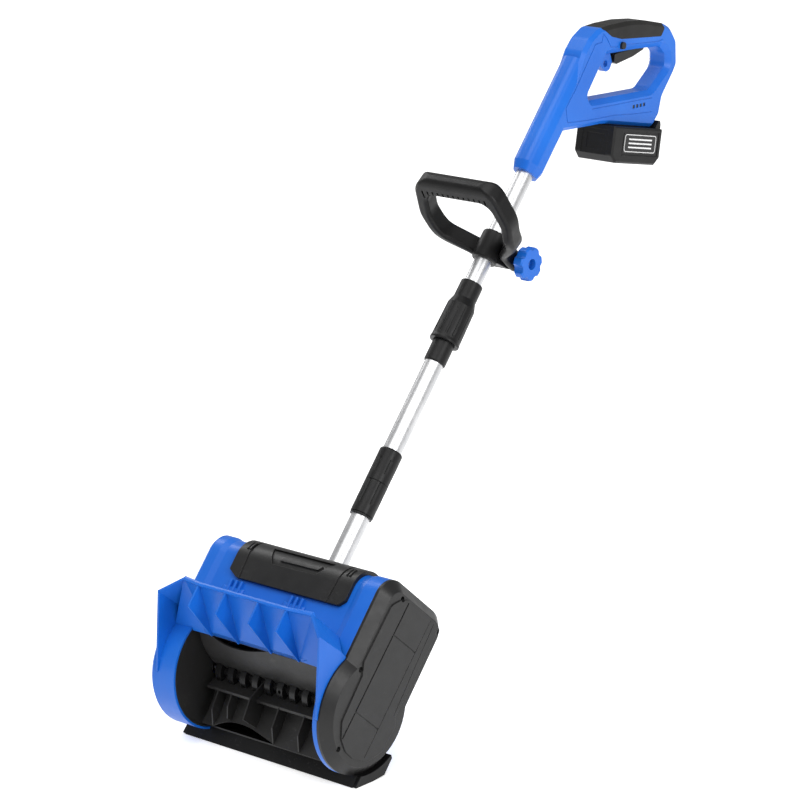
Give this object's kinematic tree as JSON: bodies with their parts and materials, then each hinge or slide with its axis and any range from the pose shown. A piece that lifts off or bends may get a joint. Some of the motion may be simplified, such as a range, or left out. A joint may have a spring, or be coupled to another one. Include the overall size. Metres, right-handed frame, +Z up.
{
  "type": "cordless snow shovel",
  "caption": "Battery snow shovel: open rotor head with paddles, belt drive, deflector and scraper, on a jointed telescopic pole with a tilting D-handle and a loop handle.",
  "frame": {"origin": "on the ground straight below the rotor shaft, in the plane of the pole", "axes": "+X across the machine towards the drive belt side, +Y back towards the person holding it, +Z up"},
  "size_m": [0.3045, 0.8997, 0.867],
  "materials": {
    "blue_plastic": "satin moulded",
    "black_plastic": "fine texture",
    "dark_liner": "plain",
    "scraper_plastic": "worn smooth",
    "rotor_plastic": "satin moulded",
    "paddle_rubber": "matt",
    "grip_rubber": "soft, matt",
    "tube_aluminium": "satin",
    "steel": "zinc plated",
    "motor_steel": "satin",
    "pulley_plastic": "plain",
    "belt_rubber": "ribbed",
    "cell_wrap": "shrink wrap",
    "label_film": "printed film",
    "board_green": "solder resist",
    "light_lens": "clear",
    "terminal_brass": "plated"
  },
  "bodies": {
    "head": {"housing_shell": "blue_plastic", "snow_deflector": "blue_plastic", "motor_cover": "black_plastic", "left_end_cover": "blue_plastic", "belt_cover": "black_plastic", "belt_cover_screws": "steel", "chamber_liner": "dark_liner", "scraper_base": "black_plastic", "scraper_blade": "scraper_plastic", "skid_shoes": "black_plastic", "rotor_bearings": "steel", "pole_socket": "black_plastic", "lower_tube": "tube_aluminium", "coupling_socket": "black_plastic", "socket_terminal": "black_plastic", "motor_can": "motor_steel", "motor_mount": "black_plastic", "drive_belt": "belt_rubber"},
    "rotor": {"rotor_shaft": "steel", "rotor_hub": "rotor_plastic", "front_paddle": "paddle_rubber", "rear_paddle": "paddle_rubber", "upper_paddle": "paddle_rubber", "rotor_end_disc": "rotor_plastic", "rotor_pulley": "pulley_plastic"},
    "motor_rotor": {"motor_shaft": "steel", "motor_pulley": "pulley_plastic"},
    "coupling_ring": {"coupling_nut": "black_plastic"},
    "middle_pole": {"coupling_plug": "black_plastic", "plug_terminal": "black_plastic", "middle_tube": "tube_aluminium", "collar_base": "black_plastic"},
    "collar": {"collar_nut": "black_plastic"},
    "upper_pole": {"upper_tube": "tube_aluminium", "tube_end_bush": "black_plastic", "handle_shell_left": "blue_plastic", "handle_shell_right": "blue_plastic", "grip_cover": "grip_rubber", "handle_screws": "steel", "switch_body": "black_plastic", "control_board": "board_green", "charge_lights": "light_lens", "trigger_pin": "steel", "trigger_spring": "steel", "battery_terminals": "terminal_brass"},
    "clamp": {"pole_clamp": "black_plastic", "clamp_bolt": "steel"},
    "d_handle": {"auxiliary_handle": "black_plastic"},
    "knob": {"star_knob": "blue_plastic"},
    "trigger_lever": {"trigger": "black_plastic"},
    "lock_off": {"lock_off_button": "black_plastic"},
    "battery": {"battery_case": "black_plastic", "battery_cells": "cell_wrap", "battery_rail": "black_plastic", "battery_label": "label_film"},
    "release": {"battery_release": "black_plastic"}
  },
  "joints": [
    {"name": "rotor_spin", "type": "hinge", "parent": "head", "child": "rotor", "pos_m": [0, 0, 0.094], "axis": [1, 0, 0], "continuous": true},
    {"name": "motor_spin", "type": "hinge", "parent": "head", "child": "motor_rotor", "pos_m": [0, 0.0586, 0.19495], "axis": [1, 0, 0], "continuous": true},
    {"name": "coupling_nut_turn", "type": "hinge", "parent": "head", "child": "coupling_ring", "pos_m": [0, 0.17484, 0.30236], "axis": [0, 0.6428, 0.766], "range_deg": [-90, 0]},
    {"name": "pole_separate", "type": "slide", "parent": "head", "child": "middle_pole", "axis": [0, 0.6428, 0.766], "range_m": [0, 0.05]},
    {"name": "collar_turn", "type": "hinge", "parent": "middle_pole", "child": "collar", "pos_m": [0, 0.3471, 0.50766], "axis": [0, 0.6428, 0.766], "range_deg": [-90, 0]},
    {"name": "pole_extend", "type": "slide", "parent": "middle_pole", "child": "upper_pole", "axis": [0, 0.6428, 0.766], "range_m": [-0.02, 0.12]},
    {"name": "clamp_slide", "type": "slide", "parent": "upper_pole", "child": "clamp", "axis": [0, 0.6428, 0.766], "range_m": [-0.008, 0.06]},
    {"name": "d_handle_tilt", "type": "hinge", "parent": "clamp", "child": "d_handle", "pos_m": [0, 0.44477, 0.57583], "axis": [1, 0, 0], "range_deg": [-40, 60]},
    {"name": "knob_turn", "type": "hinge", "parent": "clamp", "child": "knob", "pos_m": [0, 0.44477, 0.57583], "axis": [1, 0, 0], "continuous": true},
    {"name": "trigger_pull", "type": "hinge", "parent": "upper_pole", "child": "trigger_lever", "pos_m": [0, 0.744, 0.829], "axis": [-1, 0, 0], "range_deg": [0, 5], "stiffness_Nm_per_rad": 0.6, "springref_deg": -8.59, "deforming": ["trigger_spring"]},
    {"name": "lock_off_press", "type": "slide", "parent": "upper_pole", "child": "lock_off", "axis": [-1, 0, 0], "range_m": [0, 0.004], "stiffness_N_per_m": 300, "springref_m": -0.002},
    {"name": "battery_slide", "type": "slide", "parent": "upper_pole", "child": "battery", "axis": [0, 0.9839, -0.1788], "range_m": [0, 0.12]},
    {"name": "battery_release_press", "type": "slide", "parent": "battery", "child": "release", "axis": [0, -0.9839, 0.1788], "range_m": [0, 0.0024], "stiffness_N_per_m": 400, "springref_m": -0.002}
  ],
  "couplings": [
    {"joint": "motor_spin", "follows": "rotor_spin", "ratio": 3.75}
  ]
}
